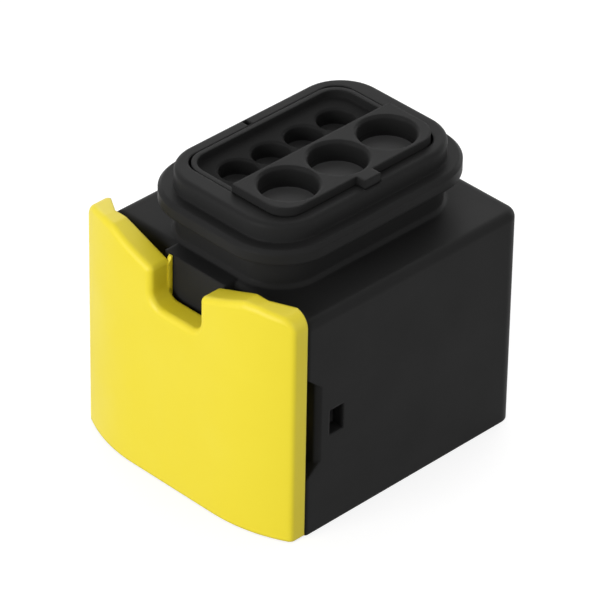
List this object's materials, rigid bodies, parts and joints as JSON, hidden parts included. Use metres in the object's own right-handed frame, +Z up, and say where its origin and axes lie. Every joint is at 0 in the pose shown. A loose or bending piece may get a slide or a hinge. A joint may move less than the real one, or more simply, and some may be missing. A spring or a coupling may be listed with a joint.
{
  "type": "connector housing",
  "caption": "Sealed rectangular connector housing with an oval flanged neck, round wire entries in an inner carrier and a sliding front lock plate.",
  "frame": {"origin": "on the floor under the middle of the whole box", "axes": "+Z up towards the wire side, -Y out of the face with the slide lock, +X towards the large wire entries"},
  "size_m": [0.039, 0.0452, 0.0447],
  "materials": {
    "black_plastic": "fine matt moulding",
    "carrier_plastic": "fine matt moulding",
    "seal_rubber": "silicone rubber",
    "lock_plastic": "natural moulding",
    "yellow_plastic": "satin moulding"
  },
  "bodies": {
    "housing": {"outer_housing": "black_plastic", "contact_carrier": "carrier_plastic", "interface_seal": "seal_rubber", "contact_lock": "lock_plastic"},
    "slide": {"slide_lock": "yellow_plastic"}
  },
  "joints": [
    {"name": "slide_travel", "type": "slide", "parent": "housing", "child": "slide", "axis": [1, 0, 0], "range_m": [0, 0.002]}
  ]
}
